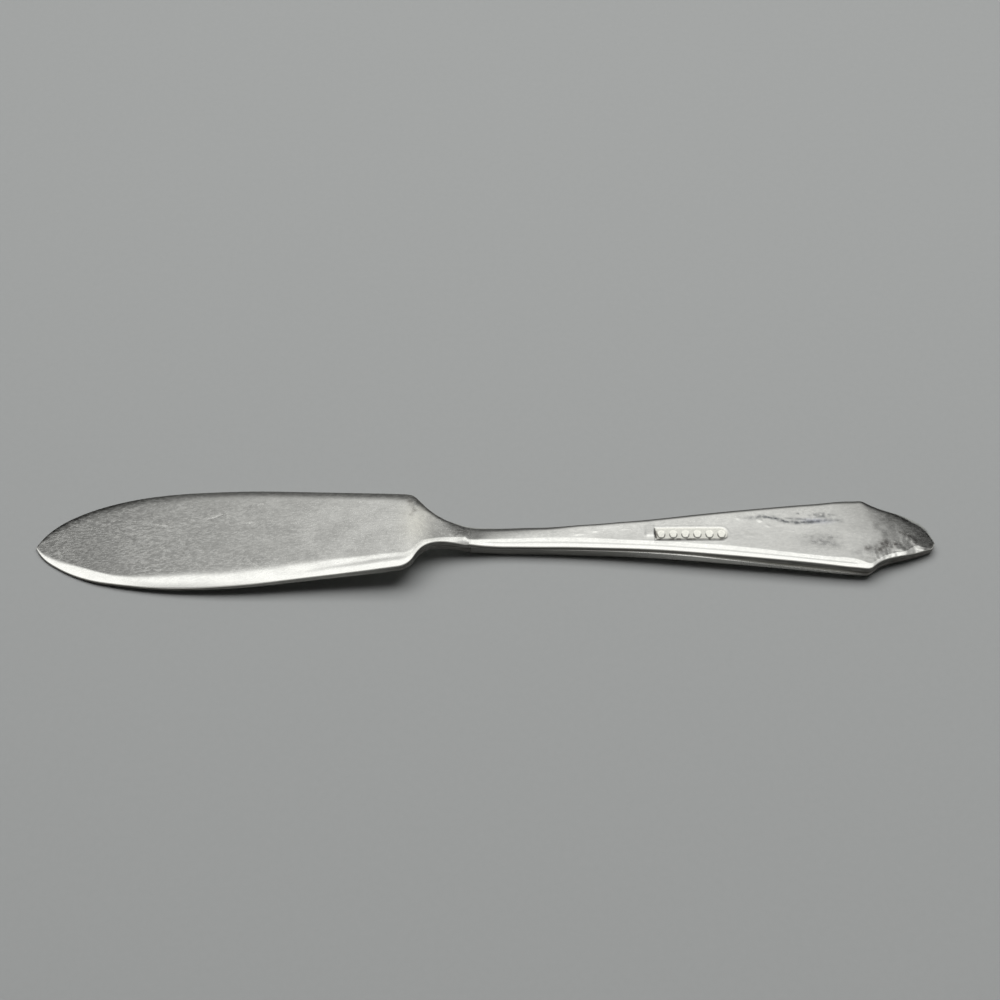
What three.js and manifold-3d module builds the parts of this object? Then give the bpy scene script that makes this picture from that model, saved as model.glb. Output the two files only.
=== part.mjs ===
// A flat-handled butter spreader lying with its back up: a rolled blade brazed into a struck handle.
// Millimetres. X runs from the blade tip to the handle end, Y across the spreader, Z up from the table.
import * as THREE from "three";
import Module from "manifold-3d";

// Lengths along the spreader
const BLADE_LENGTH = 64; // tip to heel, on the edge side
const NECK_LENGTH = 11; // heel to brazed seam
const HANDLE_LENGTH = 80; // brazed seam to handle end
const BELLY_REACH = 29; // tip to the widest place of the blade
const BELLY_TURN = 13; // length in which the belly turns into the straight run to the heel
const SPINE_SETBACK = 0.9; // how much further back the heel lies on the spine side
const FLARE_LENGTH = 35; // seam to the start of the straight taper of the handle
const END_LENGTH = 12.7; // handle shoulders to handle end
const NOSE_LENGTH = 6; // convex last part of the handle end
const DIP_REACH = 6; // seam to the lowest place of the neck
const CREST_REACH = 43; // seam to the highest place of the handle
const REST_LENGTH = 3; // flat under the handle end that lies on the table
const CORNER_ROUND = 0.7; // length rounded away on each side of a heel or shoulder corner

// Widths across the spreader
const BLADE_WIDTH = 19.5;
const HEEL_WIDTH = 14.4;
const TIP_WIDTH = 0.8; // blunt end of the blade tip
const NECK_WIDTH = 3.5;
const FLARE_WIDTH = 6.9; // handle at the start of its straight taper
const SHOULDER_WIDTH = 13.8; // handle at its widest
const NOSE_WIDTH = 8.2; // handle where its end turns convex
const NOSE_FLAT = 1.2; // blunt end of the handle

// Thicknesses, and heights of the upper face above the table
const TIP_THICKNESS = 0.6; // the tip touches the table
const HEEL_THICKNESS = 1.75;
const NECK_THICKNESS = 2.85; // at the lowest place of the neck
const CREST_THICKNESS = 2.8;
const END_THICKNESS = 1.4; // the handle end lies on the table
const HEEL_HEIGHT = 5.65;
const DIP_HEIGHT = 3;
const CREST_HEIGHT = 3.95;

// Bevels round the upper face, and the smaller ones round the under face
const BLADE_BEVEL_WIDTH = 2.1;
const BLADE_BEVEL_DROP = 0.5;
const HANDLE_BEVEL_WIDTH = 1.5;
const HANDLE_BEVEL_DROP = 0.55;
const NOSE_BEVEL_DROP = 1; // the bevel deepens over the turned-down end
const BEVEL_SHARE = 0.75; // most of the half width, or of the thickness, that a bevel takes
const BEVEL_ROUNDNESS = 1.6; // power by which a bevel steepens towards its outer edge
const UNDER_BEVEL_WIDTH = 0.2;
const UNDER_BEVEL_SHARE = 0.12; // share of the side wall that the under bevel takes

// Shapes of the curves, as shares of their own run and rise
const TIP_RUN = 0.06;
const TIP_RISE = 0.33;
const BELLY_RUN = 0.27;
const EDGE_SWEEP = 0.2; // run of the heel sweep on the edge side
const SPINE_SWEEP = 0.35; // run of the heel sweep on the spine side
const SWEEP_SPREAD = 1.37; // second control point of a sweep over its first
const SWEEP_FALL = 0.5;
const OGEE_RUN = 0.36;
const OGEE_FALL = 0.61;
const NOSE_RUN = 0.4;
const NOSE_FALL = 0.2;
const NOSE_BLUNTNESS = 0.45;
const CRANK_START = 0.32; // where the bend of the neck leaves the plane of the blade
const UNDER_CRANK_START = 0.12; // the underside bends sooner, which thickens the neck
const CRANK_END = 0.4; // where it joins the low run of the handle, measured back from it
const RISE_EASE = 0.38;
const TURNDOWN_START = 0.6;
const TURNDOWN_END = 0.05; // measured back from the handle end
const TURNDOWN_FALL = 0.6; // share of the fall that is left at that place
const UNDER_RUN = 0.8; // how far the underside stays high before it drops to the resting place
const UNDER_LANDING = 0.05; // measured back from the resting place

// Brazed joint between blade and handle
const TONGUE_LENGTH = 7;
const SOCKET_WALL = 0.9; // handle metal left round the socket at the seam
const BRAZE_FILM = 0.1; // solder between tongue and socket, and between the two end faces

// Blank stamped panel on the back of the handle
const PANEL_REACH = 38.4; // seam to panel centre
const PANEL_LENGTH = 12.6;
const PANEL_WIDTH = 2.6;
const PANEL_DEPTH = 0.2;

// Fineness of the curves
const TIP_STEPS = 28;
const CURVE_STEPS = 6;
const RUN_STEPS = 4;
const SWEEP_STEPS = 20;
const FLARE_STEPS = 18;
const TAPER_STEPS = 14;
const NOSE_STEPS = 18;
const ARC_STEPS = 12;
const BEVEL_STEPS = 4;
const BISECTIONS = 40;

const wasm = await Module();
wasm.setup();

const seamX = BLADE_LENGTH + NECK_LENGTH;
const endX = seamX + HANDLE_LENGTH;
const flareX = seamX + FLARE_LENGTH;
const shoulderX = endX - END_LENGTH;
const noseX = endX - NOSE_LENGTH;
const dipX = seamX + DIP_REACH;
const crestX = seamX + CREST_REACH;
const restX = endX - REST_LENGTH;
const bladeEndX = seamX - BRAZE_FILM;

// Adds a line and a rounded corner to a path that goes on towards the next point.
function turnCorner(path, corner, next) {
  const before = path.currentPoint.clone().sub(corner).setLength(CORNER_ROUND).add(corner);
  const after = next.clone().sub(corner).setLength(CORNER_ROUND).add(corner);
  path.lineTo(before.x, before.y);
  path.quadraticCurveTo(corner.x, corner.y, after.x, after.y);
}

// Half width along the blade and neck, for a heel at heelX.
function bladeOutline(heelX, sweep) {
  const bladeHalf = BLADE_WIDTH / 2;
  const neckHalf = NECK_WIDTH / 2;
  const heel = new THREE.Vector2(heelX, HEEL_WIDTH / 2);
  const belly = new THREE.Vector2(BELLY_REACH + BELLY_TURN / 2, bladeHalf);
  const straight = heel.clone().sub(belly).setLength(BELLY_TURN / 2).add(belly);
  const sweepRun = sweep * (seamX - heelX);
  const sweepTop = new THREE.Vector2(heelX + sweepRun, SWEEP_FALL * heel.y);
  const path = new THREE.Path();
  path.moveTo(0, TIP_WIDTH / 2);
  path.bezierCurveTo(
    TIP_RUN * BELLY_REACH, TIP_RISE * bladeHalf,
    BELLY_RUN * BELLY_REACH, bladeHalf,
    BELLY_REACH, bladeHalf,
  );
  path.quadraticCurveTo(belly.x, belly.y, straight.x, straight.y);
  turnCorner(path, heel, sweepTop);
  path.bezierCurveTo(
    sweepTop.x, sweepTop.y,
    heelX + SWEEP_SPREAD * sweepRun, neckHalf,
    seamX, neckHalf,
  );
  return path;
}

// Half width along the handle.
function handleOutline() {
  const neckHalf = NECK_WIDTH / 2;
  const flareHalf = FLARE_WIDTH / 2;
  const noseHalf = NOSE_WIDTH / 2;
  const shoulder = new THREE.Vector2(shoulderX, SHOULDER_WIDTH / 2);
  const taper = (shoulder.y - flareHalf) / (shoulder.x - flareX);
  const ogee = new THREE.Vector2(
    shoulder.x + OGEE_RUN * (noseX - shoulder.x),
    shoulder.y - OGEE_FALL * (shoulder.y - noseHalf),
  );
  const path = new THREE.Path();
  path.moveTo(seamX, neckHalf);
  path.quadraticCurveTo(flareX - (flareHalf - neckHalf) / taper, neckHalf, flareX, flareHalf);
  turnCorner(path, shoulder, ogee);
  path.quadraticCurveTo(ogee.x, ogee.y, noseX, noseHalf);
  path.bezierCurveTo(
    noseX + NOSE_RUN * NOSE_LENGTH, noseHalf * (1 - NOSE_FALL),
    endX, noseHalf * NOSE_BLUNTNESS,
    endX, NOSE_FLAT / 2,
  );
  return path;
}

// Height of the middle of the upper face.
function heightProfile() {
  const slope = (HEEL_HEIGHT - TIP_THICKNESS) / BLADE_LENGTH;
  const crank = dipX - BLADE_LENGTH;
  const rise = crestX - dipX;
  const fall = endX - crestX;
  const path = new THREE.Path();
  path.moveTo(0, TIP_THICKNESS);
  path.lineTo(BLADE_LENGTH, HEEL_HEIGHT);
  path.bezierCurveTo(
    BLADE_LENGTH + CRANK_START * crank, HEEL_HEIGHT + slope * CRANK_START * crank,
    dipX - CRANK_END * crank, DIP_HEIGHT,
    dipX, DIP_HEIGHT,
  );
  path.bezierCurveTo(
    dipX + RISE_EASE * rise, DIP_HEIGHT,
    crestX - RISE_EASE * rise, CREST_HEIGHT,
    crestX, CREST_HEIGHT,
  );
  path.bezierCurveTo(
    crestX + TURNDOWN_START * fall, CREST_HEIGHT,
    endX - TURNDOWN_END * fall, END_THICKNESS + TURNDOWN_FALL * (CREST_HEIGHT - END_THICKNESS),
    endX, END_THICKNESS,
  );
  return path;
}

// Height of the underside.
function undersideProfile() {
  const heelUnder = HEEL_HEIGHT - HEEL_THICKNESS;
  const dipUnder = DIP_HEIGHT - NECK_THICKNESS;
  const crestUnder = CREST_HEIGHT - CREST_THICKNESS;
  const slope = heelUnder / BLADE_LENGTH;
  const crank = dipX - BLADE_LENGTH;
  const rise = crestX - dipX;
  const fall = restX - crestX;
  const path = new THREE.Path();
  path.moveTo(0, 0);
  path.lineTo(BLADE_LENGTH, heelUnder);
  path.bezierCurveTo(
    BLADE_LENGTH + UNDER_CRANK_START * crank, heelUnder + slope * UNDER_CRANK_START * crank,
    dipX - CRANK_END * crank, dipUnder,
    dipX, dipUnder,
  );
  path.bezierCurveTo(
    dipX + RISE_EASE * rise, dipUnder,
    crestX - RISE_EASE * rise, crestUnder,
    crestX, crestUnder,
  );
  path.bezierCurveTo(
    crestX + UNDER_RUN * fall, crestUnder,
    restX - UNDER_LANDING * fall, 0,
    restX, 0,
  );
  path.lineTo(endX, 0);
  return path;
}

// Value of a path at x, for a path that runs steadily along x.
function valueAt(path, x) {
  const piece = path.curves.find((curve) => x <= curve.getPoint(1).x) ?? path.curves.at(-1);
  let low = 0;
  let high = 1;
  for (let step = 0; step < BISECTIONS; step += 1) {
    const middle = (low + high) / 2;
    if (piece.getPoint(middle).x < x) {
      low = middle;
    } else {
      high = middle;
    }
  }
  return piece.getPoint(high).y;
}

const edgeOutline = bladeOutline(BLADE_LENGTH, EDGE_SWEEP);
const spineOutline = bladeOutline(BLADE_LENGTH + SPINE_SETBACK, SPINE_SWEEP);
const gripOutline = handleOutline();
const heights = heightProfile();
const undersides = undersideProfile();

// Closed ring of points across the spreader at x, in Y and Z.
function sectionAt(x) {
  const onHandle = x >= seamX;
  const near = valueAt(onHandle ? gripOutline : edgeOutline, x);
  const far = valueAt(onHandle ? gripOutline : spineOutline, x);
  const top = valueAt(heights, x);
  const bottom = valueAt(undersides, x);
  const thickness = top - bottom;
  const blend = THREE.MathUtils.smoothstep(x, BLADE_LENGTH, seamX);
  const fullWidth = THREE.MathUtils.lerp(BLADE_BEVEL_WIDTH, HANDLE_BEVEL_WIDTH, blend);
  const nose = THREE.MathUtils.smoothstep(x, noseX, endX);
  const backDrop = THREE.MathUtils.lerp(HANDLE_BEVEL_DROP, NOSE_BEVEL_DROP, nose);
  const fullDrop = THREE.MathUtils.lerp(BLADE_BEVEL_DROP, backDrop, blend);
  const halfRing = (half) => {
    const width = Math.min(fullWidth, BEVEL_SHARE * half);
    const drop = Math.min(fullDrop * width / fullWidth, BEVEL_SHARE * thickness);
    const under = Math.min(UNDER_BEVEL_WIDTH, BEVEL_SHARE * half);
    const bevel = Array.from({ length: BEVEL_STEPS + 1 }, (_, step) => {
      const share = step / BEVEL_STEPS;
      return [half - width * (1 - share), top - drop * share ** BEVEL_ROUNDNESS];
    });
    return [
      ...bevel,
      [half, bottom + UNDER_BEVEL_SHARE * (thickness - drop)],
      [half - under, bottom],
    ];
  };
  const nearRing = halfRing(near).map(([y, z]) => new THREE.Vector2(-y, z));
  const farRing = halfRing(far).map(([y, z]) => new THREE.Vector2(y, z));
  return [...nearRing, ...farRing.reverse()];
}

// Closed solid through rings that all have the same number of points.
function loft(stations) {
  const rings = stations.map(({ ring }) => ring);
  const count = rings[0].length;
  const positions = stations.flatMap(({ x, ring }) => ring.flatMap((point) => [x, point.x, point.y]));
  const indices = [];
  for (let row = 0; row + 1 < rings.length; row += 1) {
    for (let column = 0; column < count; column += 1) {
      const a = row * count + column;
      const b = row * count + (column + 1) % count;
      const c = a + count;
      const d = b + count;
      indices.push(a, b, c, b, d, c);
    }
  }
  const last = (rings.length - 1) * count;
  for (const [a, b, c] of THREE.ShapeUtils.triangulateShape(rings[0], [])) {
    indices.push(a, c, b);
  }
  for (const [a, b, c] of THREE.ShapeUtils.triangulateShape(rings.at(-1), [])) {
    indices.push(last + a, last + b, last + c);
  }
  const geometry = new THREE.BufferGeometry();
  geometry.setAttribute("position", new THREE.Float32BufferAttribute(positions, 3));
  geometry.setIndex(indices);
  return geometry;
}

// Places along a path where its curves need a section, from start to end.
function stationsAlong(path, steps) {
  const places = path.curves.flatMap((curve, index) => {
    return curve.getPoints(steps[index]).slice(1).map((point) => point.x);
  });
  return [path.curves[0].getPoint(0).x, ...places];
}

function sections(places) {
  return places.map((x) => ({ x, ring: sectionAt(x) }));
}

// Rectangular bar along the middle of the neck, from x to the inner end of the tongue, grown on every side.
function neckBar(startX, growth) {
  const barAt = (x) => {
    const middle = (valueAt(heights, x) + valueAt(undersides, x)) / 2;
    const halfWidth = NECK_WIDTH / 2 - SOCKET_WALL - BRAZE_FILM + growth;
    const halfHeight = NECK_THICKNESS / 2 - SOCKET_WALL - BRAZE_FILM + growth;
    const ring = [
      new THREE.Vector2(-halfWidth, middle + halfHeight),
      new THREE.Vector2(-halfWidth, middle - halfHeight),
      new THREE.Vector2(halfWidth, middle - halfHeight),
      new THREE.Vector2(halfWidth, middle + halfHeight),
    ];
    return { x, ring };
  };
  return loft([startX, bladeEndX, seamX, seamX + TONGUE_LENGTH + growth].map(barAt));
}

// Panel outline with one square and one rounded end, sunk square to the handle's back.
function stampedPanel() {
  const panelX = seamX + PANEL_REACH;
  const half = PANEL_WIDTH / 2;
  const round = PANEL_LENGTH / 2 - half;
  const shape = new THREE.Shape();
  shape.moveTo(-PANEL_LENGTH / 2, -half);
  shape.lineTo(round, -half);
  shape.absarc(round, 0, half, -Math.PI / 2, Math.PI / 2);
  shape.lineTo(-PANEL_LENGTH / 2, half);
  shape.closePath();
  const rise = valueAt(heights, panelX + PANEL_LENGTH / 2) - valueAt(heights, panelX - PANEL_LENGTH / 2);
  const geometry = new THREE.ExtrudeGeometry(shape, {
    depth: PANEL_WIDTH,
    bevelEnabled: false,
    curveSegments: ARC_STEPS,
  });
  geometry.rotateY(-Math.atan2(rise, PANEL_LENGTH));
  geometry.translate(panelX, 0, valueAt(heights, panelX) - PANEL_DEPTH);
  return geometry;
}

function solid(geometry) {
  const position = geometry.getAttribute("position");
  const triangles = geometry.index ? geometry.index.array : position.array.map((value, index) => index);
  const mesh = new wasm.Mesh({
    numProp: 3,
    vertProperties: new Float32Array(position.array),
    triVerts: new Uint32Array(triangles.slice(0, geometry.index ? triangles.length : position.count)),
  });
  mesh.merge();
  return new wasm.Manifold(mesh);
}

function named(name, body, look) {
  const { vertProperties, triVerts } = body.getMesh();
  const geometry = new THREE.BufferGeometry();
  geometry.setAttribute("position", new THREE.Float32BufferAttribute(vertProperties, 3));
  geometry.setIndex(Array.from(triVerts));
  geometry.computeVertexNormals();
  const mesh = new THREE.Mesh(geometry, new THREE.MeshStandardMaterial(look));
  mesh.name = name;
  return mesh;
}

const bladeSteps = [TIP_STEPS, CURVE_STEPS, RUN_STEPS, CURVE_STEPS, SWEEP_STEPS];
const handleSteps = [FLARE_STEPS, TAPER_STEPS, CURVE_STEPS, CURVE_STEPS, NOSE_STEPS];
const bladePlaces = stationsAlong(edgeOutline, bladeSteps).filter((x) => x < bladeEndX);
const handlePlaces = [...stationsAlong(gripOutline, handleSteps), restX].sort((a, b) => a - b);

const tongue = solid(neckBar(BLADE_LENGTH + NECK_LENGTH / 2, 0));
const socket = solid(neckBar(bladeEndX, BRAZE_FILM));
const film = solid(loft(sections([bladeEndX, seamX])));
const blade = solid(loft(sections([...bladePlaces, bladeEndX]))).add(tongue);
const handle = solid(loft(sections(handlePlaces))).subtract(socket).subtract(solid(stampedPanel()));
const braze = film.add(socket).subtract(tongue);

const spreader = new THREE.Group();
spreader.name = "butter_spreader";
spreader.add(named("blade", blade, { color: 0xb4b3ae, roughness: 0.34, metalness: 1 }));
spreader.add(named("handle", handle, { color: 0xc6c4bd, roughness: 0.26, metalness: 1 }));
spreader.add(named("braze_seam", braze, { color: 0xb9b29c, roughness: 0.4, metalness: 1 }));

const box = new THREE.Box3().setFromObject(spreader);
const middle = box.getCenter(new THREE.Vector3());
spreader.position.set(-middle.x, -middle.y, -box.min.z);

export default spreader;
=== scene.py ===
import math

import bpy
import numpy as np
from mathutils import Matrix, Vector


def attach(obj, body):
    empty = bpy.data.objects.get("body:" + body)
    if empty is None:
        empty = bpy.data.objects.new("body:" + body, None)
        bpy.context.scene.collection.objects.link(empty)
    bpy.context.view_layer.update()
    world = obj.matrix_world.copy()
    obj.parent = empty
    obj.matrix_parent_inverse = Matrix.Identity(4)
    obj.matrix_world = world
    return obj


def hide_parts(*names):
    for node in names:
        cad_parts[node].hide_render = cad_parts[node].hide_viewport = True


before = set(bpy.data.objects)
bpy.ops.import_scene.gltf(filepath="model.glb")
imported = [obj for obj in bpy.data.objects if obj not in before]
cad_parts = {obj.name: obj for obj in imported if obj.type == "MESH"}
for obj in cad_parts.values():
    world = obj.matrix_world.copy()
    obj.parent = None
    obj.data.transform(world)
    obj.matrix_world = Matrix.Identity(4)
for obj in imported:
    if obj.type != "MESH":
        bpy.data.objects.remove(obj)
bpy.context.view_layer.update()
scene = bpy.context.scene
mm = 0.001
print("frame loaded, nodes:", ", ".join(sorted(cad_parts)))

# lines of the whole spreader in mm: along from the blade tip, half widths, heights over the table
form = {
    "heel": 64.0, "edgeSetback": 0.5, "spineSetback": 1.3, "seam": 75.0, "dip": 81.0, "flare": 110.0,
    "crest": 118.0, "shoulder": 143.0, "nose": 149.0, "rest": 152.0, "end": 155.0, "middle": 77.5,
    "tipHalf": 0.4, "bellyReach": 29.0, "bellyTurn": 13.0, "bellyHalf": 9.75, "heelHalf": 7.2,
    "neckHalf": 1.75, "flareHalf": 3.45, "shoulderHalf": 6.9, "noseHalf": 4.1, "endHalf": 0.6,
    "cornerRound": 0.7, "tipRound": 0.5, "endRound": 1.05, "endLeft": 0.002,   # the ends close to a sliver
    "tipTop": 0.6, "heelTop": 5.65, "dipTop": 3.0, "crestTop": 3.95, "endTop": 1.4,
    "tipUnder": 0.0, "heelUnder": 3.9, "dipUnder": 0.15, "crestUnder": 1.15, "endUnder": 0.7,
    # how each side of the heel runs into the neck: where it turns, and how round its corner is
    "edgeHeel": (0.2, 1.7), "spineHeel": (0.35, 0.7),
    # how the heights bend: start of the drop at the heel, fall of the end, its landing, height left there
    "topBends": (0.32, 0.6, 0.05, 0.6), "underBends": (0.12, 0.8, 0.05, 0.0),
    # both pieces sink a little beside the solder: how far along, and how deep
    "tuckReach": 0.35, "tuckDeep": 0.002,
    # added to the plain outline along each side; below zero it is trimmed
    "nearMore": ((-1, -0.4), (0, -0.3), (0.8, 0), (2, 0.15), (6, 0.1), (11, 0.03), (14, -0.13),
        (17, -0.2), (20, -0.19), (27, -0.15), (33, -0.08), (40, -0.03), (46, 0.03), (52, 0.12), (58, 0.22),
        (63, 0.24), (67, 0.15), (70, 0.15), (73, 0.38), (75, 0.45), (79, 0.4), (84, 0.42), (100, 0.53),
        (112, 0.57), (118, 0.6), (126, 0.63), (132, 0.66), (139, 0.72), (142, 0.62), (143.5, 0.45),
        (145, 0.15), (147, 0.2), (150, 0.35), (152, 0.35), (153.5, 0.2), (155, -0.1)),
    "farMore": ((-1, -0.4), (0, -0.3), (0.8, 0), (2, 0.23), (8, 0.32), (18, 0.45), (27, 0.36),
        (30, 0.32), (36, 0.32), (44, 0.27), (52, 0.18), (58, 0.09), (64, 0), (65.5, -0.25), (67.5, -0.4),
        (69.5, -0.15), (72, 0), (76, 0.2), (84, 0.2), (88, 0), (135, 0), (138, 0.17), (140, 0.24),
        (141.3, 0.14), (142.4, 0), (144, 0.2), (147, 0.32), (149, 0.49), (151, 0.76), (153, 0.95),
        (154.2, 0.95), (155, 0.7)),
    # both ends bend a little to the near side
    "tipLean": ((-1, 0.6), (0, 0.45), (1.5, 0.22), (4, 0)),
    "endLean": ((148, 0), (151, 0.05), (153, 0.3), (154.2, 0.75), (155, 1.4)),
    # degrees added to the slope along the blade, which hangs a little between tip and heel
    "sag": ((-1, 0), (0, -1.4), (8, -1.3), (16, -1), (24, -0.54), (32, 0), (40, 0.54), (48, 1),
        (56, 1.3), (62, 1.4), (64.5, 0.7), (66.5, 0)),
    # degrees added to the slope along the top at the neck
    "neckSlope": ((63, 0), (65.5, -1.3), (67.3, -3.5), (68.2, -2.8), (69, -1.5), (69.9, -0.3), (70.7, 0.6),
        (71.6, 1), (72.4, 0.3), (73.3, -0.3), (74.5, 0), (80, 0), (84, 0.26), (116, 0.26), (120, 0)),
    # degrees that the top face leans, at its near and at its far side
    "nearTilt": ((0, -0.2), (55, 0), (65.5, 0), (69, -1.2), (71.5, -3), (72.4, -2.5), (73.3, 0.8),
        (74.3, 7), (74.9, 9.5), (75.7, 11), (76.5, 10), (77.3, 7.8), (78.2, 4.8), (80, 3.5), (81.8, 1),
        (83.5, -2), (87, -2.8), (90.3, -3.6), (93.8, -2.2), (95.5, 0.5), (97.2, 3), (100.7, 3.4),
        (104.1, 3.8), (108, 2.5), (112, 1), (120, 0.8), (132, 0.8), (138, 0), (144, 0), (149, 0.5),
        (155, 2)),
    "farTilt": ((0, 0.5), (20, 0.3), (60, 0), (65.5, 0), (69, -1.2), (70, -1), (71.6, 0), (72.4, 3),
        (73.3, 6), (74.3, 10), (74.9, 11.5), (75.7, 12.5), (76.5, 12.7), (78.2, 10), (80, 8.5), (83.4, 8),
        (86.9, 5), (90.3, 1), (92, -2.5), (93.8, -4.5), (97.2, -4), (100.7, -4.5), (104.1, -2.2),
        (108, -1.8), (112, -1.5), (120, -1.8), (132, -1.8), (137, -0.5), (142, 0.5), (144, 1), (147, 2.5),
        (150, 5), (155, 9)),
    "leanTurns": (0.3, 0.75),   # across the width, where the near lean turns into the far one
    "leanStill": 0.7,   # share of the near half where the height stays as drawn
}


def bezier(*points, steps=900):
    t = np.linspace(0, 1, steps)[:, None]
    run = [np.array(p, float) for p in points]
    while len(run) > 1:
        run = [a * (1 - t) + b * t for a, b in zip(run, run[1:])]
    return run[0]


def towards(start, aim, length):
    start, aim = np.array(start, float), np.array(aim, float)
    return start + (aim - start) / np.linalg.norm(aim - start) * length


def joined(*runs):  # runs of points become one value along x, straight between runs
    points = np.concatenate([np.atleast_2d(r) for r in runs])
    return lambda x: np.interp(x, points[:, 0], points[:, 1])


def smooth(x, low, high):
    t = np.clip((x - low) / (high - low), 0, 1)
    return t * t * (3 - 2 * t)


def stripe(x, at, half):  # bell curve
    return np.exp(-((x - at) / half) ** 2)


def turned(x, y, at, across, turn):  # along and across a line that is turned by some degrees
    c, s = math.cos(math.radians(turn)), math.sin(math.radians(turn))
    return (x - at) * c + (y - across) * s, (y - across) * c - (x - at) * s


def bladeSide(heelX, sweep, ease):
    wide, neck, seam = form["bellyHalf"], form["neckHalf"], form["seam"]
    reach, turn = form["bellyReach"], form["bellyTurn"] / 2
    belly, heel = (reach + turn, wide), (heelX, form["heelHalf"])
    straight = towards(belly, heel, turn)
    run = sweep * (seam - heelX)
    sweepTop = (heelX + run, 0.5 * form["heelHalf"])
    intoHeel, outOfHeel = towards(heel, straight, ease), towards(heel, sweepTop, ease)
    return joined(
        bezier((0, form["tipHalf"]), (0.06 * reach, 0.33 * wide), (0.27 * reach, wide), (reach, wide)),
        bezier((reach, wide), belly, straight),
        bezier(intoHeel, heel, outOfHeel),
        bezier(outOfHeel, sweepTop, (heelX + 1.37 * run, neck), (seam, neck)),
    )


def handleSide():
    neck, flare, noseHalf = form["neckHalf"], form["flareHalf"], form["noseHalf"]
    (x, half), nose, end = (form["shoulder"], form["shoulderHalf"]), form["nose"], form["end"]
    taper = (half - flare) / (x - form["flare"])
    ogee = (x + 0.36 * (nose - x), half - 0.61 * (half - noseHalf))
    flareEnd = (form["flare"], flare)
    into, out = (towards((x, half), aim, form["cornerRound"]) for aim in (flareEnd, ogee))
    return joined(
        bezier((form["seam"], neck), (form["flare"] - (flare - neck) / taper, neck), flareEnd),
        bezier(into, (x, half), out),
        bezier(out, ogee, (nose, noseHalf)),
        bezier((nose, noseHalf), (nose + 0.4 * (end - nose), 0.8 * noseHalf), (end, 0.45 * noseHalf),
               (end, form["endHalf"])),
    )


def heightLine(face, lastX):  # the top or the underside along the middle, from the tip to the end
    tip, heel, dip, crest, last = (form[where + face] for where in ("tip", "heel", "dip", "crest", "end"))
    start, bend, landing, left = form[face.lower() + "Bends"]
    heelX, dipX, crestX = form["heel"], form["dip"], form["crest"]
    slope, crank, rise, fall = (heel - tip) / heelX, dipX - heelX, crestX - dipX, lastX - crestX
    return joined(
        (0, tip),
        bezier((heelX, heel), (heelX + start * crank, heel + slope * start * crank),
               (dipX - 0.4 * crank, dip), (dipX, dip)),
        bezier((dipX, dip), (dipX + 0.38 * rise, dip), (crestX - 0.38 * rise, crest), (crestX, crest)),
        bezier((crestX, crest), (crestX + bend * fall, crest),
               (lastX - landing * fall, last + left * (crest - last)), (lastX, last)),
        (form["end"], last),
    )


fineStep = 0.05   # mm between the points of a smoothed line
fine = np.arange(-4, 160, fineStep)


def eased(table, reach=0.8, tail=60):  # a table along the spreader with its corners rounded off
    bell = stripe(np.arange(-tail, tail + 1) * fineStep, 0, reach)
    line = np.pad(np.interp(fine, *zip(*table)), tail, mode="edge")
    line = np.convolve(line, bell / bell.sum(), mode="valid")
    return lambda x: np.interp(x, fine, line)


def widened(side, table):  # an outline with a little added along it
    more = eased(table)
    return lambda x: side(x) + more(x)


def addedSlope(line, table):  # a height line with a few degrees added to its slope
    more = np.cumsum(np.tan(np.radians(eased(table)(fine)))) * fineStep
    return lambda x: line(x) + np.interp(x, fine, more)


edgeSide = widened(bladeSide(form["heel"] + form["edgeSetback"], *form["edgeHeel"]), form["nearMore"])
spineSide = widened(bladeSide(form["heel"] + form["spineSetback"], *form["spineHeel"]), form["farMore"])
gripNear, gripFar = widened(handleSide(), form["nearMore"]), widened(handleSide(), form["farMore"])
topLine = addedSlope(addedSlope(heightLine("Top", form["end"]), form["sag"]), form["neckSlope"])
underLine = addedSlope(heightLine("Under", form["rest"]), form["sag"])


def lumps(x, y, size, seed, cells=(512, 64)):  # smooth random field from -1 to 1 with lumps of one size
    grid = np.random.default_rng(seed).uniform(-1, 1, cells)
    u, v = x / size + 1.0, y / size + 24.0  # clear of the border of the grid
    i, j = np.floor(u).astype(int), np.floor(v).astype(int)
    fu, fv = smooth(u - i, 0, 1), smooth(v - j, 0, 1)
    i, j = i % (cells[0] - 1), j % (cells[1] - 1)
    low = grid[i, j] * (1 - fu) + grid[i + 1, j] * fu
    high = grid[i, j + 1] * (1 - fu) + grid[i + 1, j + 1] * fu
    return low * (1 - fv) + high * fv


def lineDistance(x, y, points):  # distance to a bent line
    best = np.full(np.shape(x), 1e9)
    for (ax, ay), (bx, by) in zip(points, points[1:]):
        dx, dy = bx - ax, by - ay
        t = np.clip(((x - ax) * dx + (y - ay) * dy) / (dx * dx + dy * dy), 0, 1)
        best = np.minimum(best, np.hypot(x - ax - t * dx, y - ay - t * dy))
    return best


def lineMark(x, y, points, width):  # soft mark along a bent line
    return stripe(lineDistance(x, y, points), 0, width)


# columns round one section
rows = {"top": 60, "bevel": 26, "arris": 6, "upperWall": 6, "lowerWall": 6, "foot": 4, "bottom": 12}
# the most that an edge takes of its section, as shares, and how far the foot goes in at most, in mm
limits = {"step": 0.3, "round": 0.3, "fall": 0.6, "arris": 0.25, "foot": 0.12, "ledge": 0.2,
          "footIn": 0.5, "footMost": 0.2}
sharpFrom = math.radians(55)   # the mesh stays sharp where it bends more than this


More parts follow.
